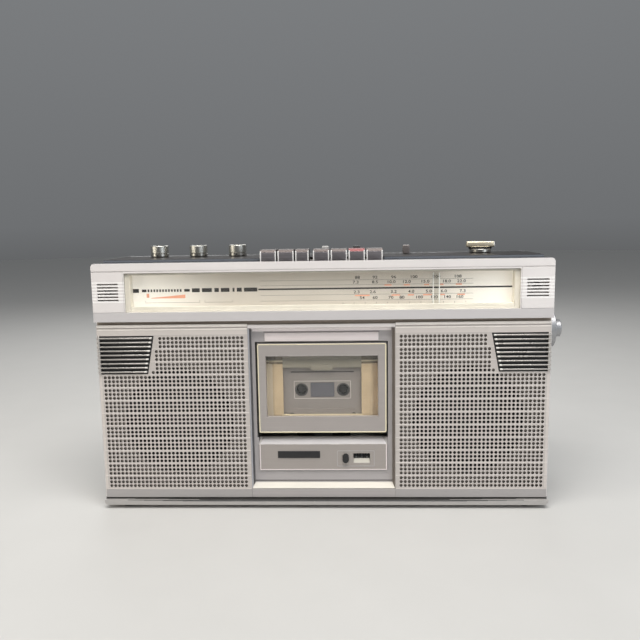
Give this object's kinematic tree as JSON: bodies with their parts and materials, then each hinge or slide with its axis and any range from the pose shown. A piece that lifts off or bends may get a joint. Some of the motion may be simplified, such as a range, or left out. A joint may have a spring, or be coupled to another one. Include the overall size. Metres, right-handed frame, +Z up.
{
  "type": "radio cassette recorder",
  "caption": "Wide portable stereo radio cassette recorder with a tuner dial across the top, perforated speaker panels and a cassette deck with door, keys and counter in the middle",
  "frame": {"origin": "centre of the box that holds the whole set, at the underside of the feet", "axes": "+X to the right as one faces the set, -Y out of the front, +Z up"},
  "size_m": [0.472, 0.1324, 0.2678],
  "materials": {
    "silver_case": "satin silver paint on moulded plastic",
    "charcoal_case": "fine texture",
    "top_gloss": "glossy",
    "grille_paint": "satin silver",
    "louvre_silver": "bright silver",
    "cream_plastic": "satin",
    "scale_print": "printed, lit from its ends",
    "clear_pane": "clear",
    "pointer_white": "clear with white lines",
    "deck_grey": "satin",
    "door_silver": "satin",
    "cassette_grey": "smooth",
    "black_plastic": "fine texture",
    "bright_chrome": "plated",
    "plated_steel": "plated",
    "drive_brass": "turned",
    "black_rubber": "dull",
    "speaker_paper": "pressed",
    "white_nylon": "moulded",
    "board_green": "lacquered"
  },
  "bodies": {
    "cabinet": {"front_cabinet": "silver_case", "rear_cover": "charcoal_case", "top_panel": "top_gloss", "grille_left": "grille_paint", "grille_right": "grille_paint", "tweeter_louvres": "louvre_silver", "mic_grilles": "silver_case", "feet": "black_rubber", "case_screws": "plated_steel", "dial_tray": "cream_plastic", "dial_scale": "scale_print", "dial_window": "clear_pane", "deck_frame": "deck_grey", "lower_panel": "deck_grey", "deck_chassis": "plated_steel", "deck_motor": "plated_steel", "drive_belt": "black_rubber", "woofers": "speaker_paper", "tweeters": "speaker_paper", "main_board": "board_green", "power_transformer": "plated_steel", "battery_box": "charcoal_case", "jack_sockets": "black_plastic", "mains_inlet": "black_plastic"},
    "cassette_door": {"door_frame": "door_silver", "door_window": "clear_pane", "cassette_holder": "cream_plastic", "cassette": "cassette_grey"},
    "handle": {"handle_arms": "black_plastic", "handle_grip": "black_plastic"},
    "dial_pointer": {"dial_pointer": "pointer_white"},
    "tuning_drum": {"tuning_drum": "white_nylon"},
    "tuning_knob": {"tuning_knob": "bright_chrome"},
    "fine_tuning_knob": {"fine_tuning_knob": "bright_chrome"},
    "counter_units": {"counter_units": "black_plastic"},
    "counter_tens": {"counter_tens": "black_plastic"},
    "counter_hundreds": {"counter_hundreds": "black_plastic"},
    "counter_button": {"counter_button": "black_plastic"},
    "supply_spindle": {"supply_spindle": "black_plastic"},
    "takeup_spindle": {"takeup_spindle": "black_plastic"},
    "flywheel": {"flywheel": "drive_brass"},
    "motor_pulley": {"motor_pulley": "drive_brass"},
    "head_plate": {"head_plate": "plated_steel"},
    "key_1": {"key_1": "bright_chrome"},
    "key_2": {"key_2": "bright_chrome"},
    "key_3": {"key_3": "bright_chrome"},
    "key_4": {"key_4": "bright_chrome"},
    "key_5": {"key_5": "bright_chrome"},
    "key_6": {"key_6": "bright_chrome"},
    "key_7": {"key_7": "bright_chrome"},
    "volume_knob": {"volume_knob": "bright_chrome"},
    "tone_knob": {"tone_knob": "bright_chrome"},
    "balance_knob": {"balance_knob": "bright_chrome"},
    "function_switch": {"function_switch": "bright_chrome"},
    "mode_switch": {"mode_switch": "bright_chrome"},
    "monitor_switch": {"monitor_switch": "bright_chrome"},
    "band_selector": {"band_selector": "bright_chrome"},
    "battery_door": {"battery_door": "charcoal_case"},
    "aerial_tube": {"aerial_tube": "bright_chrome"},
    "aerial_rod": {"aerial_rod": "bright_chrome"}
  },
  "joints": [
    {"name": "door_swing", "type": "hinge", "parent": "cabinet", "child": "cassette_door", "pos_m": [-0.0075, -0.05125, 0.082], "axis": [1, 0, 0], "range_deg": [0, 30]},
    {"name": "key_1_press", "type": "hinge", "parent": "cabinet", "child": "key_1", "pos_m": [-0.0075, 0.00775, 0.24], "axis": [1, 0, 0], "range_deg": [0, 5], "stiffness_Nm_per_rad": 0.3, "springref_deg": -11.46},
    {"name": "key_2_press", "type": "hinge", "parent": "cabinet", "child": "key_2", "pos_m": [-0.0075, 0.00775, 0.24], "axis": [1, 0, 0], "range_deg": [0, 5], "stiffness_Nm_per_rad": 0.3, "springref_deg": -11.46},
    {"name": "key_3_press", "type": "hinge", "parent": "cabinet", "child": "key_3", "pos_m": [-0.0075, 0.00775, 0.24], "axis": [1, 0, 0], "range_deg": [0, 5], "stiffness_Nm_per_rad": 0.3, "springref_deg": -11.46},
    {"name": "key_4_press", "type": "hinge", "parent": "cabinet", "child": "key_4", "pos_m": [-0.0075, 0.00775, 0.24], "axis": [1, 0, 0], "range_deg": [0, 5], "stiffness_Nm_per_rad": 0.3, "springref_deg": -11.46},
    {"name": "key_5_press", "type": "hinge", "parent": "cabinet", "child": "key_5", "pos_m": [-0.0075, 0.00775, 0.24], "axis": [1, 0, 0], "range_deg": [0, 5], "stiffness_Nm_per_rad": 0.3, "springref_deg": -11.46},
    {"name": "key_6_press", "type": "hinge", "parent": "cabinet", "child": "key_6", "pos_m": [-0.0075, 0.00775, 0.24], "axis": [1, 0, 0], "range_deg": [0, 5], "stiffness_Nm_per_rad": 0.3, "springref_deg": -11.46},
    {"name": "key_7_press", "type": "hinge", "parent": "cabinet", "child": "key_7", "pos_m": [-0.0075, 0.00775, 0.24], "axis": [1, 0, 0], "range_deg": [0, 5], "stiffness_Nm_per_rad": 0.3, "springref_deg": -11.46},
    {"name": "volume_turn", "type": "hinge", "parent": "cabinet", "child": "volume_knob", "pos_m": [-0.1865, 0.01775, 0.255], "axis": [0, 0, 1], "range_deg": [-150, 150]},
    {"name": "tone_turn", "type": "hinge", "parent": "cabinet", "child": "tone_knob", "pos_m": [-0.1435, 0.01775, 0.255], "axis": [0, 0, 1], "range_deg": [-150, 150]},
    {"name": "balance_turn", "type": "hinge", "parent": "cabinet", "child": "balance_knob", "pos_m": [-0.1005, 0.01775, 0.255], "axis": [0, 0, 1], "range_deg": [-150, 150]},
    {"name": "function_slide", "type": "slide", "parent": "cabinet", "child": "function_switch", "axis": [1, 0, 0], "range_m": [-0.004, 0.004]},
    {"name": "mode_slide", "type": "slide", "parent": "cabinet", "child": "mode_switch", "axis": [1, 0, 0], "range_m": [-0.004, 0.004]},
    {"name": "monitor_slide", "type": "slide", "parent": "cabinet", "child": "monitor_switch", "axis": [1, 0, 0], "range_m": [-0.004, 0.004]},
    {"name": "band_turn", "type": "hinge", "parent": "cabinet", "child": "band_selector", "pos_m": [0.1623, 0.01775, 0.255], "axis": [0, 0, 1], "range_deg": [-45, 45]},
    {"name": "tuning_turn", "type": "hinge", "parent": "cabinet", "child": "tuning_knob", "pos_m": [0.2225, -0.02675, 0.1783], "axis": [1, 0, 0], "range_deg": [-1520, 604]},
    {"name": "pointer_slide", "type": "slide", "parent": "cabinet", "child": "dial_pointer", "axis": [1, 0, 0], "range_m": [-0.093, 0.037]},
    {"name": "drum_turn", "type": "hinge", "parent": "cabinet", "child": "tuning_drum", "pos_m": [0.1595, -0.03625, 0.2206], "axis": [0, 1, 0], "range_deg": [-270, 110]},
    {"name": "fine_tuning_turn", "type": "hinge", "parent": "tuning_knob", "child": "fine_tuning_knob", "pos_m": [0.2325, -0.02675, 0.1783], "axis": [1, 0, 0], "range_deg": [-120, 120]},
    {"name": "flywheel_spin", "type": "hinge", "parent": "cabinet", "child": "flywheel", "pos_m": [0.024, -0.00625, 0.0946], "axis": [0, 1, 0], "continuous": true},
    {"name": "motor_pulley_spin", "type": "hinge", "parent": "cabinet", "child": "motor_pulley", "pos_m": [-0.0475, -0.00425, 0.06], "axis": [0, 1, 0], "continuous": true},
    {"name": "supply_spin", "type": "hinge", "parent": "cabinet", "child": "supply_spindle", "pos_m": [-0.02875, -0.03625, 0.1208], "axis": [0, 1, 0], "continuous": true},
    {"name": "takeup_spin", "type": "hinge", "parent": "cabinet", "child": "takeup_spindle", "pos_m": [0.01375, -0.03625, 0.1208], "axis": [0, 1, 0], "continuous": true},
    {"name": "counter_units_spin", "type": "hinge", "parent": "cabinet", "child": "counter_units", "pos_m": [0.0318, -0.04895, 0.0506], "axis": [1, 0, 0], "continuous": true},
    {"name": "counter_tens_spin", "type": "hinge", "parent": "cabinet", "child": "counter_tens", "pos_m": [0.0318, -0.04895, 0.0506], "axis": [1, 0, 0], "continuous": true},
    {"name": "counter_hundreds_spin", "type": "hinge", "parent": "cabinet", "child": "counter_hundreds", "pos_m": [0.0318, -0.04895, 0.0506], "axis": [1, 0, 0], "continuous": true},
    {"name": "counter_reset", "type": "slide", "parent": "cabinet", "child": "counter_button", "axis": [0, 1, 0], "range_m": [0, 0.002], "stiffness_N_per_m": 400, "springref_m": -0.002},
    {"name": "head_lift", "type": "slide", "parent": "cabinet", "child": "head_plate", "axis": [0, 0, 1], "range_m": [0, 0.0025]},
    {"name": "handle_swing", "type": "hinge", "parent": "cabinet", "child": "handle", "pos_m": [-0.0075, -0.00425, 0.246], "axis": [1, 0, 0], "range_deg": [0, 95]},
    {"name": "aerial_swing", "type": "hinge", "parent": "cabinet", "child": "aerial_tube", "pos_m": [-0.2155, 0.03425, 0.2255], "axis": [0, -1, 0], "range_deg": [0, 90]},
    {"name": "aerial_draw", "type": "slide", "parent": "aerial_tube", "child": "aerial_rod", "axis": [1, 0, 0], "range_m": [0, 0.16]},
    {"name": "battery_lid", "type": "hinge", "parent": "cabinet", "child": "battery_door", "pos_m": [-0.0075, 0.06435, 0.0168], "axis": [-1, 0, 0], "range_deg": [0, 90]}
  ],
  "couplings": [
    {"joint": "pointer_slide", "follows": "tuning_turn", "m_per_rad": 0.0035},
    {"joint": "drum_turn", "follows": "tuning_turn", "ratio": 0.175},
    {"joint": "motor_pulley_spin", "follows": "flywheel_spin", "ratio": 5.4},
    {"joint": "takeup_spin", "follows": "flywheel_spin", "ratio": 0.07},
    {"joint": "supply_spin", "follows": "flywheel_spin", "ratio": 0.07},
    {"joint": "counter_units_spin", "follows": "flywheel_spin", "ratio": 0.035},
    {"joint": "counter_tens_spin", "follows": "flywheel_spin", "ratio": 0.0035},
    {"joint": "counter_hundreds_spin", "follows": "flywheel_spin", "ratio": 0.00035},
    {"joint": "head_lift", "follows": "key_2_press", "m_per_rad": 0.0286}
  ]
}
